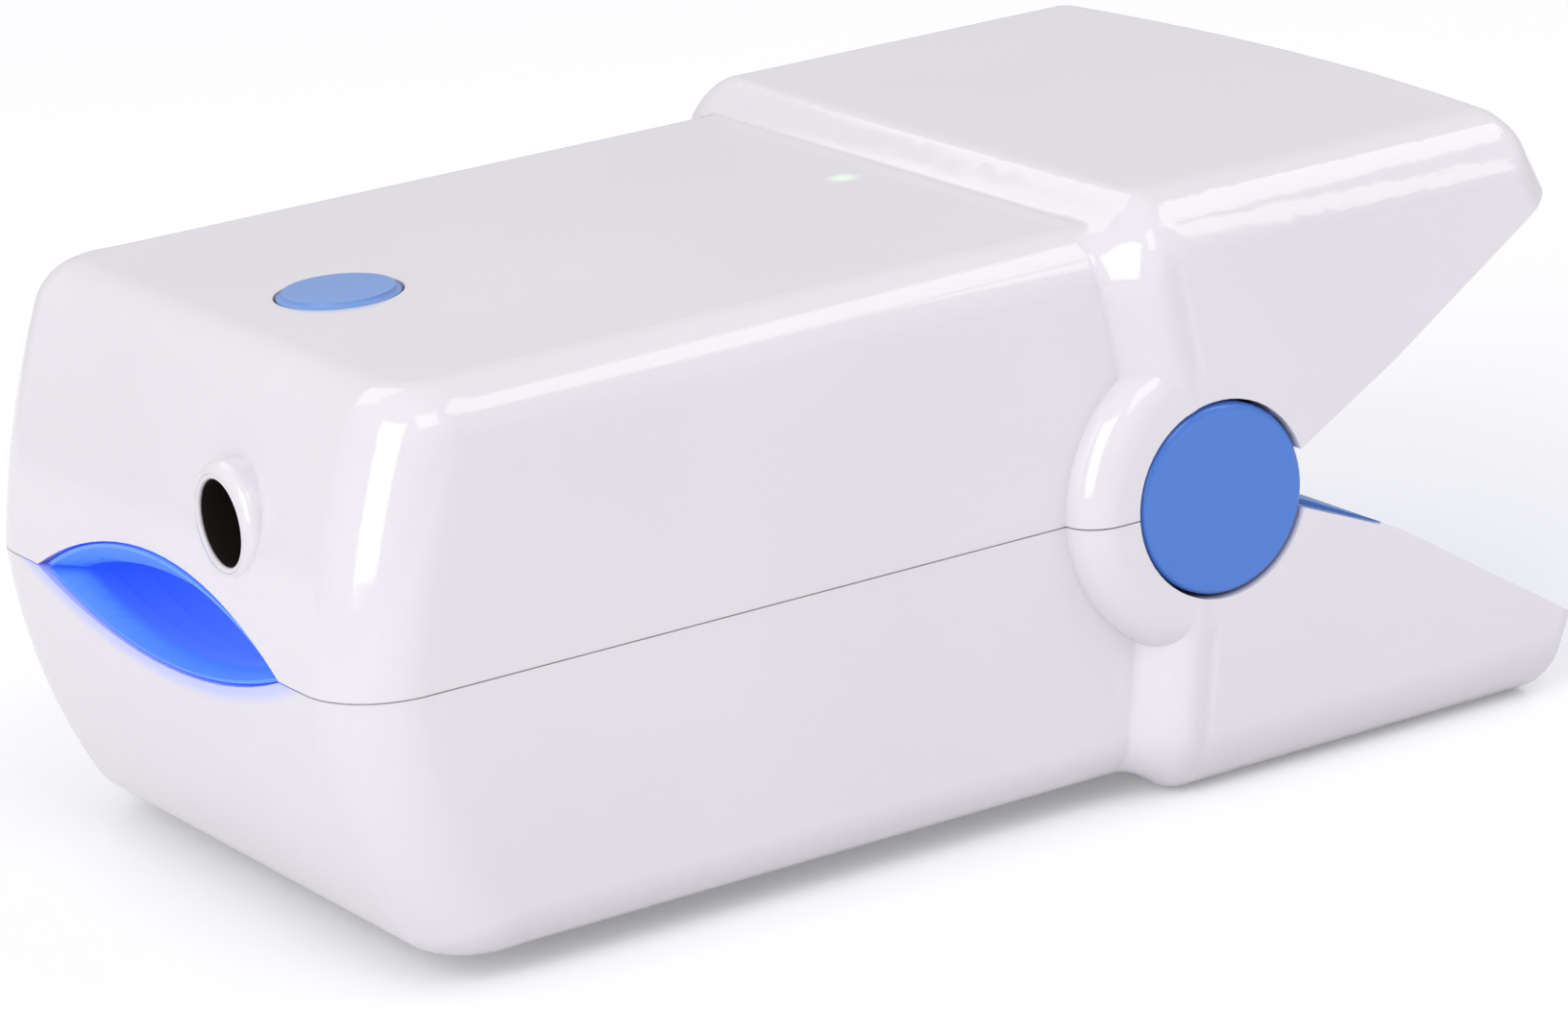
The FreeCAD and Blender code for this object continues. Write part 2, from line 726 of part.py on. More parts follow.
upper_pad = build_pad("upper_pad", 1, hood_rise, liner_half_top, rim_rise, as_size(5.4), mouth_rise)
opening = add_sketch(upper_pad, "pad_window", "XY_Plane", 0)
rectangle(opening, (-window_x - window_long / 2 + 1.2, -window_wide / 2 + 1.2),
          (-window_x + window_long / 2 - 1.2, window_wide / 2 - 1.2))
pocket(upper_pad, opening, 12, both=True)
lower_pad = build_pad("lower_pad", -1, trough_drop, liner_half_bottom, rim_drop, as_size(4.7), mouth_drop)

# button hole, light spot and jack hole in the upper casing, and the four posts of the main board
hole = add_sketch(upper_shell, "button_hole", "XY_Plane", body_half_height)
circle(hole, (-button_x, 0), button_radius + button_gap)
pocket(upper_shell, hole, (wall + 0.6) * 2, both=True)
spot = add_sketch(upper_shell, "light_spot", "XY_Plane", body_half_height - 0.65)
circle(spot, (-light_x, 0), light_radius + 0.15)
pocket(upper_shell, spot, 3)
collar = add_sketch(upper_shell, "jack_collar", "XZ_Plane", jack_y)
lip_round = 0.9
outline(collar, [
    (-jack_front - 2, jack_z),
    (-jack_front - 2, jack_z + jack_collar),
    (-jack_face + lip_round, jack_z + jack_collar),
    (-jack_face, jack_z + jack_collar - lip_round, -lip_round),
    (-jack_face, jack_z),
])
turn(upper_shell, collar, (-jack_face, jack_z), (-jack_front - 2, jack_z))
inlet = add_sketch(upper_shell, "jack_hole", "YZ_Plane", -nose_reach - 1)
circle(inlet, (-jack_y, jack_z), jack_neck + 0.05)
pocket(upper_shell, inlet, 8, back=True)
board_posts = add_sketch(upper_shell, "board_posts", "XY_Plane", board_level + board_thick)
board_holes = add_sketch(upper_shell, "board_holes", "XY_Plane", board_level + board_thick)
post_x = (52.0, 17.0)
post_y = 13.0
for x in post_x:
    for side_sign in (-1, 1):
        circle(board_posts, (-x, post_y * side_sign), 1.9)
        circle(board_holes, (-x, post_y * side_sign), 0.7)
pad(upper_shell, board_posts, body_half_height - wall - board_level - board_thick + 0.3)
pocket(upper_shell, board_holes, 2.8, back=True)

# hinge pin and its two blue caps
pin_half = handle_half_width - cap_thick - 0.2
assemble("hinge_pin", [rod("pin_bar", (0, -pin_half, 0), pin_radius, pin_half * 2, "y")])


def build_cap(label, side_sign):
    """A disc with a rounded rim on a hub that is pressed on the end of the pin."""
    body = new_body(label)
    outline_sketch = add_sketch(body, f"{label}_half", "XY_Plane")
    face = handle_half_width - 0.05
    y = side_sign
    outline(outline_sketch, [
        (pin_radius, (body_half_width - wall + 0.1) * y),
        (3.2, (body_half_width - wall + 0.1) * y),
        (3.2, (face - cap_thick) * y),
        (cap_radius, (face - cap_thick) * y),
        (cap_radius, (face - 0.5) * y),
        (cap_radius - 0.5, face * y, 0.5 * -y),
        (0, face * y),
        (0, pin_half * y),
        (pin_radius, pin_half * y),
    ])
    revolve(body, outline_sketch, "V_Axis")
    return body


build_cap("hinge_cap_left", 1)
build_cap("hinge_cap_right", -1)


def build_screws(label, spots, radius, length, face, up):
    """Identical slotted screws in one group. face is the height of the head's outer face."""
    head_high = 0.9
    screws = []
    for k, (x, y) in enumerate(spots):
        shank = rod(f"{label}_shank{k}", (x, y, face if up > 0 else face - length), radius, length, "z")
        head = rod(f"{label}_head{k}", (x, y, face if up > 0 else face - head_high), radius * 1.9, head_high, "z")
        slot_low = face - 0.01 if up > 0 else face - 0.4
        slot = box(f"{label}_slot{k}", (as_size(x) - radius * 1.4, as_size(y) - 0.2, slot_low),
                   (as_size(x) + radius * 1.4, as_size(y) + 0.2, slot_low + 0.41))
        screws.append(cut(f"{label}_screw{k}", fuse(f"{label}_blank{k}", [shank, head]), slot))
    return assemble(label, screws)


frame_spots = [(-x, screw_y * n) for x in (screw_front, screw_rear) for n in (-1, 1)]
board_spots = [(-x, post_y * n) for x in post_x for n in (-1, 1)]
build_screws("upper_frame_screws", frame_spots, screw_radius, as_size(6.5), shelf + 0.05, 1)
build_screws("lower_frame_screws", frame_spots, screw_radius, as_size(6.5), -shelf - 0.05, -1)
build_screws("board_screws", board_spots, as_size(0.65), as_size(3.4), board_level - 0.9, 1)


main_slab = box("main_slab", (-56.5, -16.5, board_level), (-7.5, 16.5, board_level + board_thick))
main_drills = [rod(f"main_drill{k}", (x, y, board_level - 1), 0.8, 3, "z") for k, (x, y) in enumerate(board_spots)]
assemble("main_board", [cut("main_cut", main_slab, fuse("main_drill_set", main_drills))])

# tactile switch, its plunger, and the button that presses it
switch_low = board_level + board_thick
assemble("switch_body", [cut(
    "switch_cut",
    box("switch_block", (-button_x - 3, -3, switch_low), (-button_x + 3, 3, switch_low + 1.7)),
    rod("switch_well", (-button_x, 0, switch_low + 0.6), 1.65, 2, "z"))])
assemble("switch_plunger", [rod("plunger_bar", (-button_x, 0, switch_low + 1.1), 1.5, 1.1, "z")])
button = new_body("power_button")
button_half = add_sketch(button, "button_half", "XZ_Plane")
under = body_half_height - wall - 0.25
outline(button_half, [
    (-button_x, switch_low + 2.2),
    (-button_x + 1.4, switch_low + 2.2),
    (-button_x + 1.4, under - 0.5),
    (-button_x + button_radius + 1.1, under - 0.5),
    (-button_x + button_radius + 1.1, under),
    (-button_x + button_radius, under),
    (-button_x + button_radius, body_half_height + button_proud - 0.35),
    (-button_x + button_radius - 0.35, body_half_height + button_proud, 0.35),
    (-button_x, body_half_height + button_proud),
])
turn(button, button_half, (-button_x, switch_low), (-button_x, body_half_height))

# power jack: a round housing behind the hole in the casing, its centre pin and its spring leaf
jack_floor = jack_long - 1.5
neck_long = jack_face - 0.35 - jack_front
bore_long = neck_long + 1.2
assemble("dc_jack", [cut(
    "jack_cut",
    fuse("jack_body", [
        rod("jack_tube", (-jack_front, -jack_y, jack_z), jack_bore + 0.75, jack_long, "x"),
        rod("jack_neck", (-jack_front - neck_long, -jack_y, jack_z), jack_neck, neck_long + 1, "x")]),
    fuse("jack_bores", [
        rod("jack_mouth", (-jack_front - neck_long - 1, -jack_y, jack_z), jack_bore, bore_long + 1, "x"),
        rod("jack_well", (-jack_front + 1.2, -jack_y, jack_z), jack_bore + 0.25, jack_floor - 1.2, "x"),
        rod("jack_pin_hole", (-jack_front + jack_floor - 0.1, -jack_y, jack_z), 0.8, 3, "x")]))])
assemble("jack_contact", [fuse("contact_blank", [
    rod("contact_pin", (-jack_front + 1.6, -jack_y, jack_z), 1.0, jack_floor - 1.6, "x"),
    rod("contact_tail", (-jack_front + 8, -jack_y, jack_z), 0.8, jack_long - 7.9, "x")])])
leaf_low = jack_z - jack_bore - 0.02
assemble("jack_leaf", [box("leaf_strip", (-jack_front + 2, -jack_y - 0.9, leaf_low),
                           (-jack_front + jack_floor, -jack_y + 0.9, leaf_low + 0.25))])

# status light: a diode on the board and a clear post up to the thinned spot
assemble("status_led", [box("led_block", (-light_x - 0.8, -0.6, switch_low),
                            (-light_x + 0.8, 0.6, switch_low + 0.8))])
assemble("light_guide", [rod("guide_post", (-light_x, 0, switch_low + 0.85), light_radius,
                             body_half_height - 0.7 - switch_low - 0.85, "z")])

# emitters: clear window, board, diodes and two laser cans
assemble("emitter_window", [box(
    "window_pane",
    (-window_x - window_long / 2 + 0.1, -window_wide / 2 + 0.1, hood_rise + 1.42),
    (-window_x + window_long / 2 - 0.1, window_wide / 2 - 0.1, hood_rise + 2.35))])
laser_spots = [-window_x - 4, -window_x + 4]
emitter_slab = box("emitter_slab", (-window_x - 12.6, -8.5, emitter_level),
                   (-window_x + 12.6, 8.5, emitter_level + board_thick))
emitter_drills = [rod(f"emitter_drill{k}", (x, 0, emitter_level - 1), 2.85, 3, "z")
                  for k, x in enumerate(laser_spots)]
assemble("emitter_board", [cut("emitter_cut", emitter_slab, fuse("emitter_drill_set", emitter_drills))])

laser_cans = []
for k, x in enumerate(laser_spots):
    laser_cans.append(fuse(f"laser{k}", [
        rod(f"laser_can{k}", (x, 0, hood_rise + 2.6), 1.8, 3.2, "z"),
        rod(f"laser_base{k}", (x, 0, emitter_level), 2.8, 1.2, "z")]))
assemble("laser_diodes", laser_cans)

lamps = []
for k, (x, y) in enumerate([(x, y) for x in (-8.0, 0.0, 8.0) for y in (-5.0, 5.0)]):
    lamps.append(fuse(f"lamp{k}", [
        rod(f"lamp_base{k}", (-window_x + x, y, emitter_level - 0.8), 1.5, 0.8, "z"),
        cone(f"lamp_dome{k}", (-window_x + x, y, emitter_level - 1.7), 0.7, 1.2, 0.9, "z")]))
assemble("blue_leds", lamps)

# power cell across the body behind the channel, with a tab on each end
cell_z = cell_radius + shelf + plate + 0.1
assemble("battery_cell", [rod("cell_can", (-cell_x, -cell_long / 2, cell_z), cell_radius, cell_long, "y")])
assemble("battery_tabs", [
    box("tab_right", (-cell_x - 2, -cell_long / 2 - 0.25, cell_z - 2), (-cell_x + 2, -cell_long / 2, cell_z + 5.1)),
    box("tab_left", (-cell_x - 2, cell_long / 2, cell_z - 2), (-cell_x + 2, cell_long / 2 + 0.25, cell_z + 5.1))])

# sounder and main chip
assemble("buzzer", [rod("buzzer_can", (-34, 11.5, switch_low), 4.4, 3.0, "z")])
assemble("controller_chip", [box("chip_block", (-33.5, -6.5, switch_low), (-26.5, 0.5, switch_low + 1.2))])


# the two torsion springs on the pin, one at each side, with their legs against the handles' panels
leg_up = math.radians(30.45)
leg_down = math.radians(26.3)
whole_turns = 3


def coil_stations(start, first_angle, sweep, climb):
    """Points and directions on a steady coil about y, a little under half a turn apart."""
    radius = coil_radius.value
    count = math.ceil(sweep / math.pi)
    rise = climb * sweep / (2 * math.pi)
    stations = []
    for k in range(count + 1):
        angle = first_angle + sweep * k / count
        point = Vector(radius * math.cos(angle), start + rise * k / count, radius * math.sin(angle))
        way = Vector(-radius * math.sin(angle), climb / (2 * math.pi), radius * math.cos(angle)).normalize()
        stations.append((point, way))
    return stations


def biarc(start, way_out, end, way_in):
    """Two arcs that join two points and keep the direction at both ends."""
    gap = end - start
    b = gap.dot(way_out + way_in)
    a = 2 * (1 - way_out.dot(way_in))
    reach = (-b + math.sqrt(b * b + a * gap.dot(gap))) / a
    first = start + way_out * reach
    second = end - way_in * reach
    joint = (first + second) * 0.5
    arcs = []
    for p, q, way in ((start, joint, way_out), (joint, end, (second - first).normalize())):
        chord = q - p
        normal = chord - way * chord.dot(way)
        centre = p + normal * (chord.dot(chord) / (2 * normal.dot(normal)))
        middle = centre + ((p + q) * 0.5 - centre).normalize() * (p - centre).Length
        arcs.append(Part.Arc(p, middle, q).toShape())
    return arcs


def least_coil_gap(wire):
    """The clear distance between neighbouring turns, measured on points along the wire's middle line."""
    points = wire.discretize(Distance=0.25)
    nearest = min(p.distanceToPoint(q) for k, p in enumerate(points) for q in points[k + 12:])
    return nearest - coil_wire.value * 2


def build_spring(label, side_sign):
    """One unbroken wire: the lower leg, the coil round the pin, and the upper leg."""
    first_angle = math.pi / 2 - leg_down
    sweep = 2 * math.pi * (whole_turns + 1) - math.pi / 2 + leg_up - first_angle
    stations = coil_stations(coil_start.value * side_sign, first_angle, sweep, coil_pitch.value * side_sign)
    begin, way = stations[0]
    level = Vector(way.x, 0, way.z).normalize()
    low_tip = begin - level * coil_leg.value
    edges = [Part.LineSegment(low_tip, begin).toShape()]
    for (p, way_p), (q, way_q) in zip(stations, stations[1:]):
        edges += biarc(p, level if p is begin else way_p, q, way_q)
    end, way = stations[-1]
    edges.append(Part.LineSegment(end, end + way * coil_leg.value).toShape())
    path = Part.Wire(edges)
    ring = Part.Wire(Part.Circle(low_tip, level, coil_wire.value).toShape())
    solid = path.makePipeShell([ring], True, False)
    spring = doc.addObject("Part::Feature", label)
    spring.Shape = solid
    ratio = solid.Volume / (math.pi * coil_wire.value ** 2 * path.Length)
    print(label, "volume ratio", round(ratio, 4), "least gap", round(least_coil_gap(path), 3))
    return stand(spring, label)


build_spring("spring_left", 1)
build_spring("spring_right", -1)

doc.recompute()

failed = [o.Name for o in doc.Objects if "Invalid" in o.State or "Error" in o.State]
if failed:
    raise ValueError(f"failed objects: {failed}")
os.makedirs("parts", exist_ok=True)
for part in bodies:
    shape = part.Shape
    if shape.isNull() or not shape.isValid() or shape.Volume <= 0:
        raise ValueError(f"{part.Label} has no valid solid")
for part in bodies:
    part.Shape.exportStep(f"parts/{part.Label}.step")
    print(part.Label, round(part.Shape.Volume, 1), len(part.Shape.Solids))
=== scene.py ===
import bpy
import bmesh
import json
import math
from mathutils import Matrix, Vector
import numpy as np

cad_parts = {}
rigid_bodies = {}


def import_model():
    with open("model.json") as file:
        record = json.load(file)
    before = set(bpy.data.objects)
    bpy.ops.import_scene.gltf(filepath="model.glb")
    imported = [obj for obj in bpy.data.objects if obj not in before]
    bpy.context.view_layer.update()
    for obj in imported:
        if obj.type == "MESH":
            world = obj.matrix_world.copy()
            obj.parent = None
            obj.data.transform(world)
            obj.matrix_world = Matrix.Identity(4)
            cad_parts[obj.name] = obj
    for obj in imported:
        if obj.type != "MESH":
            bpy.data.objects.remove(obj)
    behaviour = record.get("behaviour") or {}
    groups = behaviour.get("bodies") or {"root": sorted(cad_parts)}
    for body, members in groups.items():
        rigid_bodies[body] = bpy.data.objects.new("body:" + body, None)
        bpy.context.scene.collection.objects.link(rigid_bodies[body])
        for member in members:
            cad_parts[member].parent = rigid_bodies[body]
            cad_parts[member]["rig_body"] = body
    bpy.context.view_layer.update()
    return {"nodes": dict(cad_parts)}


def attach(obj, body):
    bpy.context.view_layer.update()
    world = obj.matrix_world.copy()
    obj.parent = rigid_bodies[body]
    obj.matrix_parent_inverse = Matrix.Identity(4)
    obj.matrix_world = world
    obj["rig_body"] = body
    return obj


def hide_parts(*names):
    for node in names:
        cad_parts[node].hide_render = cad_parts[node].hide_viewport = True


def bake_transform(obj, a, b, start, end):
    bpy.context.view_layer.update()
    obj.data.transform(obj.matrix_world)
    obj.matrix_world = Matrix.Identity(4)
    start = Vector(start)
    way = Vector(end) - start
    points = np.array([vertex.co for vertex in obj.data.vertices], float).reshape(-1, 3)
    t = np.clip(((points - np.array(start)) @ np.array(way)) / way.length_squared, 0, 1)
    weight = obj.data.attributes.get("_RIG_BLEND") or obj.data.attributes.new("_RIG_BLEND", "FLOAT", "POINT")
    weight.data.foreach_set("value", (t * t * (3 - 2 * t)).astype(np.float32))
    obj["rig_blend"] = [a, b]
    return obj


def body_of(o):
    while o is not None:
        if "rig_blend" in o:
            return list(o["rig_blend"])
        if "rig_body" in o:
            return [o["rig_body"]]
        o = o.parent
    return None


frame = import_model()
nodes = frame["nodes"]

# The clip is seen from its mouth end, a little from above, through a long lens.
# The camera stands 0.44 m from the hinge and holds the whole clip in a 1632 x 1076 frame.
hinge = Vector((0.0167, 0.0, 0.0202))
focal_pixels, frame_pixels, film_width = 6677.45, 1632, 36.0
camera_offset = Vector((-0.22872, -0.35451, 0.12192))
turn, tip, roll = math.radians(30.88), math.radians(16.94), math.radians(4.55)
away = Vector((-math.sin(turn) * math.cos(tip), -math.cos(turn) * math.cos(tip), math.sin(tip)))
level = Vector((math.cos(turn), -math.sin(turn), 0.0))
upright = away.cross(level)
side = level * math.cos(roll) - upright * math.sin(roll)
top = level * math.sin(roll) + upright * math.cos(roll)
lens = bpy.data.cameras.new("camera")
lens.sensor_width = film_width
lens.lens = focal_pixels / frame_pixels * film_width
lens.shift_x = 0.00447
lens.shift_y = 0.00245
lens.clip_start = 0.01
camera = bpy.data.objects.new("camera", lens)
bpy.context.scene.collection.objects.link(camera)
facing = Matrix((side, top, away)).transposed().to_4x4()
camera.matrix_world = Matrix.Translation(hinge + camera_offset) @ facing
bpy.context.scene.camera = camera
bpy.context.scene.view_settings.view_transform = "Standard"


def new_material(name):
    """A material with its shader, and short ways to add a node and join two sockets."""
    material = bpy.data.materials.new(name)
    material.use_nodes = True
    tree = material.node_tree
    shader = tree.nodes["Principled BSDF"]

    def add(kind, **values):
        node = tree.nodes.new(kind)
        for key, value in values.items():
            if key in node.inputs:
                node.inputs[key].default_value = value
            else:
                setattr(node, key, value)
        return node

    return material, shader, add, tree.links.new


# The clip stands on a seamless white sweep of matt paper that takes its soft shadow.
# The paper is lifted a little for the camera and in reflections, so it looks white there.
sweep_half, paper_lift = 0.3, 0.2
bm = bmesh.new()
bmesh.ops.create_grid(bm, x_segments=2, y_segments=2, size=sweep_half)
mesh = bpy.data.meshes.new("floor")
bm.to_mesh(mesh)
bm.free()
floor = bpy.data.objects.new("floor", mesh)
bpy.context.scene.collection.objects.link(floor)
paper, shader, add, join = new_material("white_sweep")
shader.inputs["Base Color"].default_value = (0.8, 0.8, 0.81, 1.0)
shader.inputs["Roughness"].default_value = 0.95
shader.inputs["Specular IOR Level"].default_value = 0.1
seen = add("ShaderNodeLightPath")
either = add("ShaderNodeMath", operation="MAXIMUM")
join(seen.outputs["Is Camera Ray"], either.inputs[0])
join(seen.outputs["Is Glossy Ray"], either.inputs[1])
any_ray = add("ShaderNodeMath", operation="MAXIMUM")
join(either.outputs[0], any_ray.inputs[0])
join(seen.outputs["Is Transmission Ray"], any_ray.inputs[1])
lift = add("ShaderNodeMath", operation="MULTIPLY")
join(any_ray.outputs[0], lift.inputs[0])
lift.inputs[1].default_value = paper_lift
shader.inputs["Emission Color"].default_value = (1.0, 1.0, 1.0, 1.0)
join(lift.outputs[0], shader.inputs["Emission Strength"])
mesh.materials.append(paper)

# A plain white studio stands round it. It lights the clip at two thirds of its brightness,
# and shows as full white where the camera looks past the paper.
world = bpy.data.worlds.new("studio")
bpy.context.scene.world = world
world.use_nodes = True
sky = world.node_tree
backing = sky.nodes["Background"]
backing.inputs["Color"].default_value = (0.98, 0.98, 1.0, 1.0)
backing.inputs["Strength"].default_value = 0.68
white = sky.nodes.new("ShaderNodeBackground")
white.inputs["Color"].default_value = (1.0, 1.0, 1.0, 1.0)
white.inputs["Strength"].default_value = 1.0
which = sky.nodes.new("ShaderNodeLightPath")
first = sky.nodes.new("ShaderNodeMath")
first.operation = "MAXIMUM"
sky.links.new(which.outputs["Is Camera Ray"], first.inputs[0])
sky.links.new(which.outputs["Is Transmission Ray"], first.inputs[1])
choice = sky.nodes.new("ShaderNodeMixShader")
sky.links.new(first.outputs[0], choice.inputs["Fac"])
sky.links.new(backing.outputs[0], choice.inputs[1])
sky.links.new(white.outputs[0], choice.inputs[2])
sky.links.new(choice.outputs[0], sky.nodes["World Output"].inputs["Surface"])


# Five soft boxes light it: a long one overhead towards the handles, a tall one at the left of the camera,
# broad ones behind and above the camera, and a small near one beside the handles.
def soft_box(name, azimuth, elevation, distance, size, power):
    lamp = bpy.data.lights.new(name, "AREA")
    lamp.shape = "RECTANGLE"
    lamp.size, lamp.size_y = size
    lamp.energy = power
    thing = bpy.data.objects.new(name, lamp)
    bpy.context.scene.collection.objects.link(thing)
    az, el = math.radians(azimuth), math.radians(elevation)
    way = Vector((math.cos(az) * math.cos(el), math.sin(az) * math.cos(el), math.sin(el)))
    aim = way.to_track_quat("Z", "Y").to_matrix().to_4x4()
    thing.matrix_world = Matrix.Translation(hinge + way * distance) @ aim


soft_box("overhead_box", -24.0, 55.0, 0.9, (0.75, 0.22), 1.0)
soft_box("strip_box", -155.0, 25.0, 0.9, (0.46, 0.76), 3.6)
soft_box("rear_box", 100.0, 48.0, 1.1, (0.6, 0.5), 1.0)
soft_box("front_box", -100.0, 50.0, 1.0, (0.4, 0.4), 1.0)
soft_box("handle_box", -51.4, 31.5, 0.256, (0.034, 0.126), 0.028)


# The casing halves are injection-moulded in white gloss plastic, smooth outside, with a faint lilac cast.
# The frames' screws hold them from inside, so no screw shows. The status lamp's green light through a
# thinned spot in the upper half is a painted glow on the casing, and the channel's blue light on the lower
# half's lip is painted too, as a glow and as a violet cast of its colour.
def smooth_copy(name, node, angle=32.0):
    """A merged, evenly shaded copy of a CAD node that stands for it."""
    mesh = nodes[node].data.copy()
    mesh.name = name
    mesh.materials.clear()
    bm = bmesh.new()
    bm.from_mesh(mesh)
    bmesh.ops.remove_doubles(bm, verts=bm.verts, dist=2e-6)
    bmesh.ops.dissolve_degenerate(bm, edges=bm.edges, dist=1e-6)
    for face in bm.faces:
        face.smooth = True
    for edge in bm.edges:
        edge.smooth = edge.is_manifold and edge.calc_face_angle(3.2) < math.radians(angle)
    bm.to_mesh(mesh)
    bm.free()
    piece = bpy.data.objects.new(name, mesh)
    bpy.context.scene.collection.objects.link(piece)
    weights = piece.modifiers.new("even_normals", "WEIGHTED_NORMAL")
    weights.mode = "FACE_AREA_WITH_ANGLE"
    weights.keep_sharp = True
    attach(piece, body_of(nodes[node])[0])
    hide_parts(node)
    return piece


def gloss_plastic(name, colour, roughness, ripple):
    """Moulded gloss plastic: a slight change of tone, a faint flow ripple and fine dust in the gloss."""
    material, shader, add, join = new_material(name)
    place = add("ShaderNodeTexCoord")
    tone = add("ShaderNodeTexNoise", Scale=38.0, Detail=3.0, Roughness=0.5)
    join(place.outputs["Object"], tone.inputs["Vector"])
    ramp = add("ShaderNodeValToRGB")
    ramp.color_ramp.elements[0].position = 0.3
    ramp.color_ramp.elements[1].position = 0.7
    ramp.color_ramp.elements[0].color = [c * 0.975 for c in colour] + [1.0]
    ramp.color_ramp.elements[1].color = [min(1.0, c * 1.015) for c in colour] + [1.0]
    join(tone.outputs["Fac"], ramp.inputs["Fac"])
    join(ramp.outputs["Color"], shader.inputs["Base Color"])
    dust = add("ShaderNodeTexNoise", Scale=420.0, Detail=2.0)
    join(place.outputs["Object"], dust.inputs["Vector"])
    spread = add("ShaderNodeMapRange")
    spread.inputs["To Min"].default_value = roughness * 0.8
    spread.inputs["To Max"].default_value = roughness * 1.25
    join(dust.outputs["Fac"], spread.inputs["Value"])
    join(spread.outputs["Result"], shader.inputs["Roughness"])
    flow = add("ShaderNodeTexNoise", Scale=55.0, Detail=1.0)
    join(place.outputs["Object"], flow.inputs["Vector"])
    bump = add("ShaderNodeBump", Strength=ripple, Distance=0.0002)
    join(flow.outputs["Fac"], bump.inputs["Height"])
    join(bump.outputs["Normal"], shader.inputs["Normal"])
    shader.inputs["IOR"].default_value = 1.59
    return material, shader, add, join, place


casing_colour, gloss, ripple = (0.735, 0.705, 0.745), 0.09, 0.12
lamp_x, lamp_z = hinge.x - 0.0095, hinge.z + 0.0185
painted_glow_radius, painted_glow_light, painted_glow_colour = 0.0016, 0.25, (0.45, 1.0, 0.42)
lip_centre, lip_outer, lip_inner, lip_back = hinge.z + 0.0467, 0.0512, 0.0497, hinge.x - 0.0602
painted_spill_light, painted_spill_colour = (0.0, 0.01, 0.22), (0.50, 0.53, 0.76, 1.0)
casing, shader, add, join, place = gloss_plastic("casing_white", casing_colour, gloss, ripple)
shader.inputs["Subsurface Weight"].default_value = 0.08
shader.inputs["Subsurface Radius"].default_value = (0.002, 0.0018, 0.002)
shader.inputs["Subsurface Scale"].default_value = 1.0
# Painted glow: a green glow is painted on the casing round the status lamp's thinned spot, as emission.
shift = add("ShaderNodeMapping")
shift.inputs["Location"].default_value = (-lamp_x, 0.0, -lamp_z)
join(place.outputs["Object"], shift.inputs["Vector"])
reach = add("ShaderNodeVectorMath", operation="LENGTH")
join(shift.outputs["Vector"], reach.inputs[0])
halo = add("ShaderNodeMapRange", interpolation_type="SMOOTHERSTEP")
halo.inputs["From Min"].default_value = painted_glow_radius
halo.inputs["From Max"].default_value = 0.0
halo.inputs["To Min"].default_value = 0.0
halo.inputs["To Max"].default_value = painted_glow_light
join(reach.outputs["Value"], halo.inputs["Value"])
green = add("ShaderNodeVectorMath", operation="SCALE")
green.inputs[0].default_value = painted_glow_colour
join(halo.outputs["Result"], green.inputs["Scale"])
# Painted light: the channel's blue light on the lower half's lip near the mouth is painted on as a blue
# emission glow.
centre = add("ShaderNodeMapping")
centre.inputs["Location"].default_value = (0.0, 0.0, -lip_centre)
centre.inputs["Scale"].default_value = (0.0, 1.0, 1.0)
join(place.outputs["Object"], centre.inputs["Vector"])
arc = add("ShaderNodeVectorMath", operation="LENGTH")
join(centre.outputs["Vector"], arc.inputs[0])
spill = add("ShaderNodeMapRange", interpolation_type="SMOOTHERSTEP")
spill.inputs["From Min"].default_value = lip_outer
spill.inputs["From Max"].default_value = lip_inner
join(arc.outputs["Value"], spill.inputs["Value"])
where = add("ShaderNodeSeparateXYZ")
join(place.outputs["Object"], where.inputs["Vector"])
front = add("ShaderNodeMath", operation="LESS_THAN")
join(where.outputs["X"], front.inputs[0])
front.inputs[1].default_value = lip_back
under = add("ShaderNodeMath", operation="LESS_THAN")
join(where.outputs["Z"], under.inputs[0])
under.inputs[1].default_value = hinge.z
both = add("ShaderNodeMath", operation="MULTIPLY")
join(front.outputs[0], both.inputs[0])
join(under.outputs[0], both.inputs[1])
near_mouth = add("ShaderNodeMath", operation="MULTIPLY")
join(both.outputs[0], near_mouth.inputs[0])
join(spill.outputs["Result"], near_mouth.inputs[1])
violet = add("ShaderNodeVectorMath", operation="SCALE")
violet.inputs[0].default_value = painted_spill_light
join(near_mouth.outputs[0], violet.inputs["Scale"])
lights = add("ShaderNodeVectorMath", operation="ADD")
join(green.outputs["Vector"], lights.inputs[0])
join(violet.outputs["Vector"], lights.inputs[1])
join(lights.outputs["Vector"], shader.inputs["Emission Color"])
shader.inputs["Emission Strength"].default_value = 1.0
# Painted light: the same mask turns the lip's base colour violet, as if it were lit blue.
painted_spill_base = add("ShaderNodeMix", data_type="RGBA")
painted_spill_base.inputs[7].default_value = painted_spill_colour
join(near_mouth.outputs[0], painted_spill_base.inputs["Factor"])
join(shader.inputs["Base Color"].links[0].from_socket, painted_spill_base.inputs[6])
join(painted_spill_base.outputs[2], shader.inputs["Base Color"])

for name, node in (("upper_casing", "upper_shell"), ("lower_casing", "lower_shell")):
    half = smooth_copy(name, node)
    half.data.materials.append(casing)

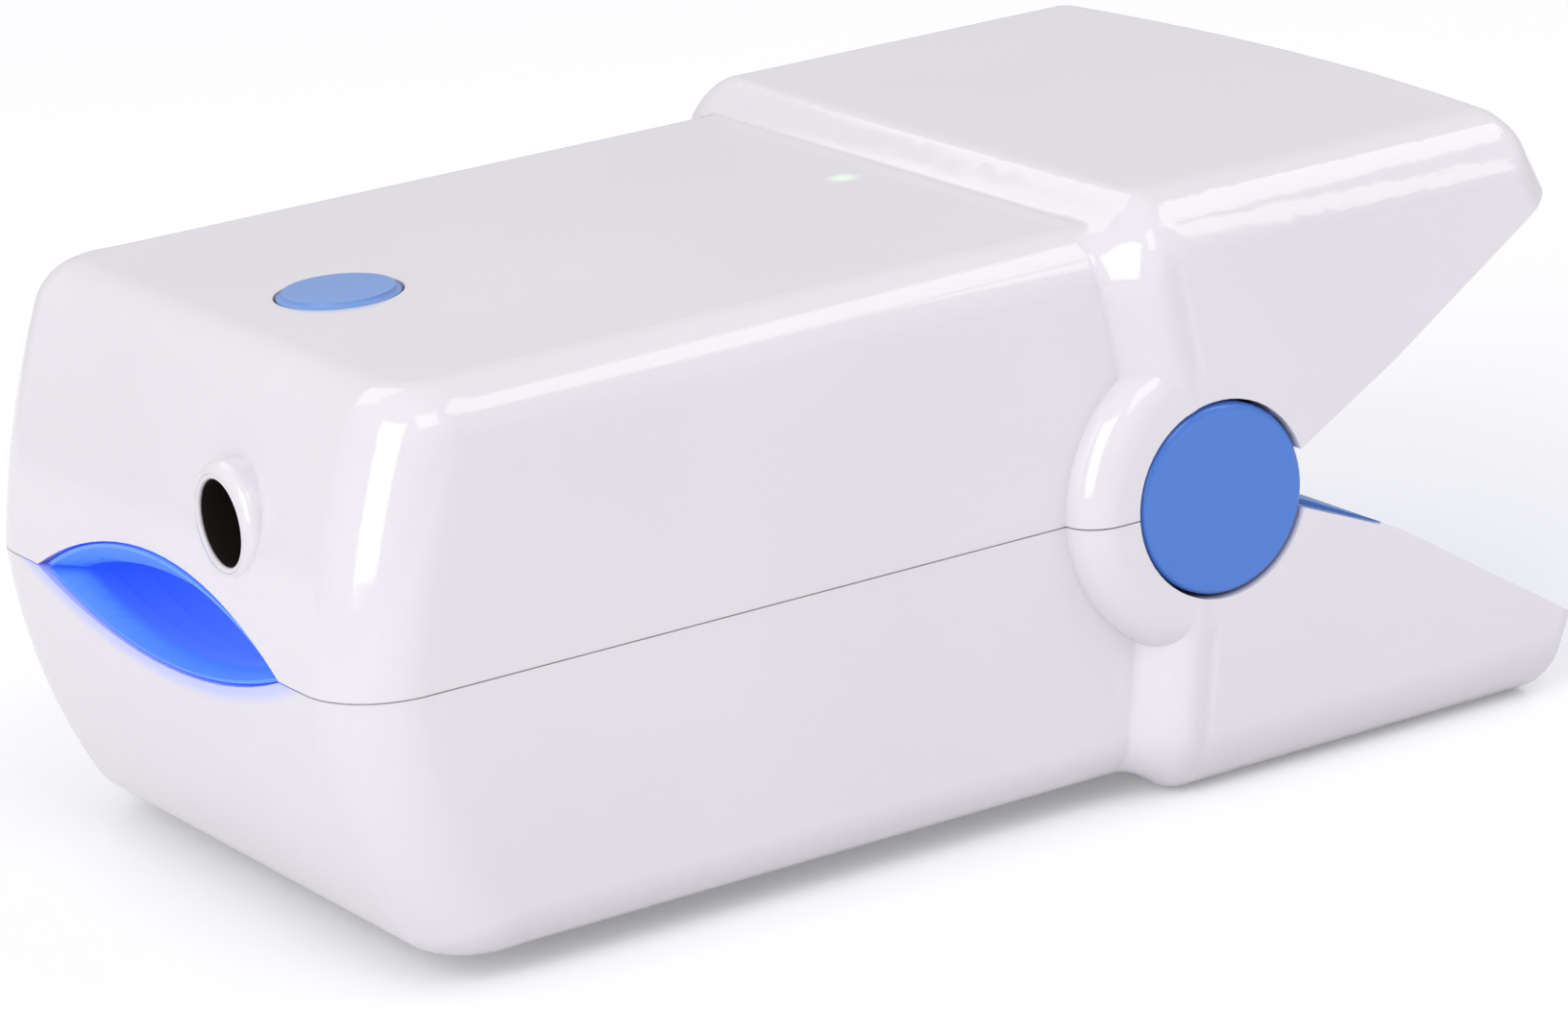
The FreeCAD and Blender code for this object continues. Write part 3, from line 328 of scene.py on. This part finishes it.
# The lower half has a low tongue along its seam, moulded in one with it and set in a little
# from the outside. It lies in the gap under the upper half's edge, so the seam looks pale.
nose_x, heel_x, mouth_half, casing_half, corner_radius = -0.0633, -0.0108, 0.0175, 0.026, 0.0055
inset, tongue_width, foot, rise = 0.00022, 0.0008, -0.0001, 0.00004
bm = bmesh.new()
ends = [bm.verts.new(p) for p in ((nose_x + inset, mouth_half, foot),
                                  (nose_x + inset, casing_half - inset, foot),
                                  (heel_x, casing_half - inset, foot))]
for start, end in zip(ends, ends[1:]):
    bm.edges.new((start, end))
bmesh.ops.bevel(bm, geom=[ends[1]], offset=corner_radius - inset, offset_type="OFFSET", affect="VERTICES",
                segments=8, profile=0.5, material=-1)
raised = bmesh.ops.extrude_edge_only(bm, edges=bm.edges[:])["geom"]
crest = [part for part in raised if isinstance(part, bmesh.types.BMVert)]
bmesh.ops.translate(bm, vec=(0.0, 0.0, rise - foot), verts=crest)
bmesh.ops.recalc_face_normals(bm, faces=bm.faces)
bmesh.ops.solidify(bm, geom=bm.faces[:], thickness=tongue_width)
bmesh.ops.mirror(bm, geom=bm.verts[:] + bm.edges[:] + bm.faces[:], axis="Y", merge_dist=1e-7)
bmesh.ops.translate(bm, vec=hinge, verts=bm.verts)
bmesh.ops.recalc_face_normals(bm, faces=bm.faces)
mesh = bpy.data.meshes.new("seam_tongue")
bm.to_mesh(mesh)
bm.free()
tongue = bpy.data.objects.new("seam_tongue", mesh)
bpy.context.scene.collection.objects.link(tongue)
mesh.materials.append(casing)
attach(tongue, "lower_jaw")

# The hole for the inlet ends in a soft lip, moulded in one with the upper half and white like it.
# It is a turned ring with a rounded inner edge, and it covers the front of the black housing.
inlet_middle = hinge + Vector((0.0, -0.0094, 0.0084))
lip_back_x, lip_front_x, lip_outside = -0.06228, -0.0626, 0.00318
lip_section = ((lip_back_x, lip_outside), (lip_back_x, 0.00284), (-0.0624, 0.00283),
               (-0.06252, 0.00287), (lip_front_x, 0.00298), (lip_front_x, lip_outside))
bm = bmesh.new()
points = [bm.verts.new((x, 0.0, radius)) for x, radius in lip_section]
for start, end in zip(points, points[1:] + points[:1]):
    bm.edges.new((start, end))
bmesh.ops.spin(bm, geom=bm.verts[:] + bm.edges[:], cent=(0.0, 0.0, 0.0), axis=(1.0, 0.0, 0.0),
               dvec=(0.0, 0.0, 0.0), angle=2 * math.pi, steps=64, use_merge=True)
bmesh.ops.translate(bm, vec=inlet_middle, verts=bm.verts)
bmesh.ops.recalc_face_normals(bm, faces=bm.faces)
for face in bm.faces:
    face.smooth = True
mesh = bpy.data.meshes.new("inlet_lip")
bm.to_mesh(mesh)
bm.free()
lip = bpy.data.objects.new("inlet_lip", mesh)
bpy.context.scene.collection.objects.link(lip)
mesh.materials.append(casing)
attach(lip, "upper_jaw")


# The inner frames are moulded in blue plastic with a fine spark-eroded grain. Each has the channel's arch,
# the bearing ears and the panel that closes its handle in one piece, and four screws hold it to its casing.
def grained_plastic(name, colour, roughness, grain, depth, shine=0.5):
    """Plastic with the fine even grain of a spark-eroded mould."""
    material, shader, add, join = new_material(name)
    place = add("ShaderNodeTexCoord")
    cells = add("ShaderNodeTexNoise", Scale=grain, Detail=4.0, Roughness=0.7)
    join(place.outputs["Object"], cells.inputs["Vector"])
    tone = add("ShaderNodeTexNoise", Scale=60.0, Detail=2.0)
    join(place.outputs["Object"], tone.inputs["Vector"])
    ramp = add("ShaderNodeValToRGB")
    ramp.color_ramp.elements[0].position = 0.3
    ramp.color_ramp.elements[1].position = 0.7
    ramp.color_ramp.elements[0].color = [c * 0.9 for c in colour] + [1.0]
    ramp.color_ramp.elements[1].color = [min(1.0, c * 1.08) for c in colour] + [1.0]
    join(tone.outputs["Fac"], ramp.inputs["Fac"])
    join(ramp.outputs["Color"], shader.inputs["Base Color"])
    spread = add("ShaderNodeMapRange")
    spread.inputs["To Min"].default_value = roughness * 0.85
    spread.inputs["To Max"].default_value = min(1.0, roughness * 1.2)
    join(cells.outputs["Fac"], spread.inputs["Value"])
    join(spread.outputs["Result"], shader.inputs["Roughness"])
    bump = add("ShaderNodeBump", Strength=0.4, Distance=depth)
    join(cells.outputs["Fac"], bump.inputs["Height"])
    join(bump.outputs["Normal"], shader.inputs["Normal"])
    shader.inputs["Specular IOR Level"].default_value = shine
    return material


frame_plastic = grained_plastic("frame_blue_grain", (0.065, 0.22, 0.66), 0.42, 2600.0, 0.00006)
for name, node in (("upper_chassis", "upper_frame"), ("lower_chassis", "lower_frame")):
    piece = smooth_copy(name, node)
    piece.data.materials.append(frame_plastic)

# The liners are soft blue silicone, each moulded in one with the rim that fills its side of the mouth
# and set on its frame. The light inside the channel is painted on them as a glow, least at the rim, with
# painted shade under the upper rim.
rim_front, rim_back = hinge.x - 0.0616, hinge.x - 0.0607
painted_shade_way, painted_shade_low, painted_shade_high = (0.0, -1.0, -2.2), hinge.z * -2.2 - 0.013, hinge.z * -2.2 + 0.015
liner, shader, add, join = new_material("liner_silicone")
place = add("ShaderNodeTexCoord")
parts = add("ShaderNodeSeparateXYZ")
join(place.outputs["Object"], parts.inputs["Vector"])
depth = add("ShaderNodeMapRange", interpolation_type="SMOOTHSTEP")
depth.inputs["From Min"].default_value = rim_front
depth.inputs["From Max"].default_value = rim_back
join(parts.outputs["X"], depth.inputs["Value"])
# Painted shade: the glow is darker towards the top, under the upper rim, and lighter lower down and towards
# the near side.
fall = add("ShaderNodeVectorMath", operation="DOT_PRODUCT")
join(place.outputs["Object"], fall.inputs[0])
fall.inputs[1].default_value = painted_shade_way
painted_shade_fac = add("ShaderNodeMapRange")
painted_shade_fac.inputs["From Min"].default_value = painted_shade_low
painted_shade_fac.inputs["From Max"].default_value = painted_shade_high
join(fall.outputs["Value"], painted_shade_fac.inputs["Value"])
inner = add("ShaderNodeValToRGB")
inner.color_ramp.elements[0].color = (0.020, 0.075, 0.86, 1.0)
inner.color_ramp.elements[1].color = (0.085, 0.18, 0.9, 1.0)
join(painted_shade_fac.outputs["Result"], inner.inputs["Fac"])
# Painted glow: the emission is low at the rim and rises deeper in the channel.
glow = add("ShaderNodeMix", data_type="RGBA")
glow.inputs[6].default_value = (0.012, 0.05, 0.42, 1.0)
join(inner.outputs["Color"], glow.inputs[7])
join(depth.outputs["Result"], glow.inputs["Factor"])
join(glow.outputs[2], shader.inputs["Emission Color"])
shader.inputs["Emission Strength"].default_value = 1.0
skin = add("ShaderNodeTexNoise", Scale=900.0, Detail=3.0)
join(place.outputs["Object"], skin.inputs["Vector"])
tint = add("ShaderNodeValToRGB")
tint.color_ramp.elements[0].color = (0.09, 0.25, 0.76, 1.0)
tint.color_ramp.elements[1].color = (0.12, 0.29, 0.84, 1.0)
join(skin.outputs["Fac"], tint.inputs["Fac"])
# Painted shade: the base colour darkens deeper in the channel, where the painted glow stands in for the
# light.
painted_shade_base = add("ShaderNodeMix", data_type="RGBA")
painted_shade_base.inputs[7].default_value = (0.02, 0.05, 0.5, 1.0)
join(tint.outputs["Color"], painted_shade_base.inputs[6])
join(depth.outputs["Result"], painted_shade_base.inputs["Factor"])
join(painted_shade_base.outputs[2], shader.inputs["Base Color"])
bump = add("ShaderNodeBump", Strength=0.25, Distance=0.00005)
join(skin.outputs["Fac"], bump.inputs["Height"])
join(bump.outputs["Normal"], shader.inputs["Normal"])
shader.inputs["Roughness"].default_value = 0.48
for name, node in (("upper_liner", "upper_pad"), ("lower_liner", "lower_pad")):
    piece = smooth_copy(name, node, 40.0)
    piece.data.materials.append(liner)

# The hinge caps are discs of blue gloss plastic with a rounded rim.
# A hub behind each disc is pressed on the end of the hinge pin, so the disc hides it.
cap_plastic = gloss_plastic("cap_blue_gloss", (0.05, 0.18, 0.62), 0.2, 0.1)[0]
for name, node in (("left_hinge_cap", "hinge_cap_left"), ("right_hinge_cap", "hinge_cap_right")):
    piece = smooth_copy(name, node)
    piece.data.materials.append(cap_plastic)


# The hinge pin is a ground steel rod that runs through all the bearing ears.
# The caps keep it in at both ends, and fine marks run along it.
def metal(name, colour, roughness, grain, stretch):
    """Bare metal with fine marks that run along one way."""
    material, shader, add, join = new_material(name)
    place = add("ShaderNodeTexCoord")
    scale = add("ShaderNodeMapping")
    scale.inputs["Scale"].default_value = stretch
    join(place.outputs["Object"], scale.inputs["Vector"])
    marks = add("ShaderNodeTexNoise", Scale=grain, Detail=4.0)
    join(scale.outputs["Vector"], marks.inputs["Vector"])
    ramp = add("ShaderNodeValToRGB")
    ramp.color_ramp.elements[0].color = [c * 0.8 for c in colour] + [1.0]
    ramp.color_ramp.elements[1].color = [min(1.0, c * 1.1) for c in colour] + [1.0]
    join(marks.outputs["Fac"], ramp.inputs["Fac"])
    join(ramp.outputs["Color"], shader.inputs["Base Color"])
    spread = add("ShaderNodeMapRange")
    spread.inputs["To Min"].default_value = roughness * 0.7
    spread.inputs["To Max"].default_value = roughness * 1.4
    join(marks.outputs["Fac"], spread.inputs["Value"])
    join(spread.outputs["Result"], shader.inputs["Roughness"])
    bump = add("ShaderNodeBump", Strength=0.2, Distance=0.00003)
    join(marks.outputs["Fac"], bump.inputs["Height"])
    join(bump.outputs["Normal"], shader.inputs["Normal"])
    shader.inputs["Metallic"].default_value = 1.0
    return material


steel = metal("ground_steel", (0.62, 0.62, 0.64), 0.28, 900.0, (1.0, 0.1, 1.0))
piece = smooth_copy("pivot_pin", "hinge_pin")
piece.data.materials.append(steel)

# Two torsion springs of drawn steel wire are wound round the pin, and their straight legs push
# the handles apart. Each is one wire with a leg on each jaw, so its coil twists when the jaws open.
wire = metal("spring_wire", (0.58, 0.58, 0.6), 0.3, 1400.0, (1.0, 1.0, 1.0))
for name, node, start, end in (("left_spring", "spring_left", 0.0089, 0.0136),
                               ("right_spring", "spring_right", -0.0089, -0.0136)):
    piece = smooth_copy(name, node, 60.0)
    piece.data.materials.append(wire)
    piece.parent = None
    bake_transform(piece, "lower_jaw", "upper_jaw", (hinge.x, start, hinge.z), (hinge.x, end, hinge.z))

# The push button is a disc moulded in satin blue plastic. It stands half a millimetre out of its hole
# in the top of the casing, and a stem under it rests on the switch.
button_plastic = grained_plastic("button_blue_satin", (0.16, 0.30, 0.64), 0.38, 3000.0, 0.00002)
piece = smooth_copy("push_button", "power_button")
piece.data.materials.append(button_plastic)

# The power inlet is a black moulded housing that stands behind the hole in the nose.
# A plated brass pin runs up its middle, and a bent leaf beside it touches the plug's sleeve.
black = grained_plastic("inlet_black", (0.012, 0.009, 0.008), 0.5, 2200.0, 0.00004, shine=0.25)
plated = metal("plated_contact", (0.72, 0.7, 0.66), 0.22, 1600.0, (0.2, 1.0, 1.0))
for name, node, look, slot_name in (("inlet_housing", "dc_jack", black, "jack_black"),
                                    ("inlet_pin", "jack_contact", plated, "contact_metal"),
                                    ("inlet_leaf", "jack_leaf", plated, "contact_metal")):
    piece = smooth_copy(name, node)
    piece.data.materials.append(look)

# Inside the upper jaw are two glass-fibre boards under green mask, with their chips, switch and sounder
# in black resin, and a flat cell in a shrunk sleeve with nickel tabs. The laser cans are gilt metal,
# and steel screws hold the boards and frames.
board = grained_plastic("board_mask", (0.012, 0.12, 0.05), 0.35, 1500.0, 0.00003)
chip = grained_plastic("chip_resin", (0.015, 0.015, 0.017), 0.55, 2800.0, 0.00003)
sleeve = gloss_plastic("cell_sleeve", (0.03, 0.2, 0.16), 0.25, 0.3)[0]
can = metal("emitter_can", (0.8, 0.62, 0.33), 0.25, 1200.0, (1.0, 1.0, 0.3))
for node, look in (("main_board", board), ("emitter_board", board), ("switch_body", chip),
                   ("switch_plunger", chip), ("buzzer", chip), ("controller_chip", chip),
                   ("battery_cell", sleeve), ("battery_tabs", plated), ("laser_diodes", can),
                   ("board_screws", steel), ("upper_frame_screws", steel), ("lower_frame_screws", steel)):
    mesh = nodes[node].data
    mesh.materials.clear()
    mesh.materials.append(look)

# The blue lamps are clear resin, soldered to the lower board. They shine into the channel through a moulded
# clear window, and the green status lamp shines up a clear post to the casing's thinned spot. The window and
# the post have no lamp in them, and their glow is painted on as emission.
blue_light, window_light, green_light = (0.1, 0.2, 1.0), (0.07, 0.12, 1.0), (0.3, 1.0, 0.35)
# The lamps glow, and the window and the post get a painted glow as emission.
for node, colour, strength in (("blue_leds", blue_light, 6.0), ("status_led", green_light, 2.0),
                               ("light_guide", green_light, 1.0), ("emitter_window", window_light, 1.6)):
    lit, shader, add, join = new_material(f"{node}_lit")
    place = add("ShaderNodeTexCoord")
    cloud = add("ShaderNodeTexNoise", Scale=700.0, Detail=2.0)
    join(place.outputs["Object"], cloud.inputs["Vector"])
    ramp = add("ShaderNodeValToRGB")
    ramp.color_ramp.elements[0].color = [c * 0.85 for c in colour] + [1.0]
    ramp.color_ramp.elements[1].color = list(colour) + [1.0]
    join(cloud.outputs["Fac"], ramp.inputs["Fac"])
    join(ramp.outputs["Color"], shader.inputs["Base Color"])
    join(ramp.outputs["Color"], shader.inputs["Emission Color"])
    shader.inputs["Emission Strength"].default_value = strength
    shader.inputs["Roughness"].default_value = 0.15
    mesh = nodes[node].data
    mesh.materials.clear()
    mesh.materials.append(lit)
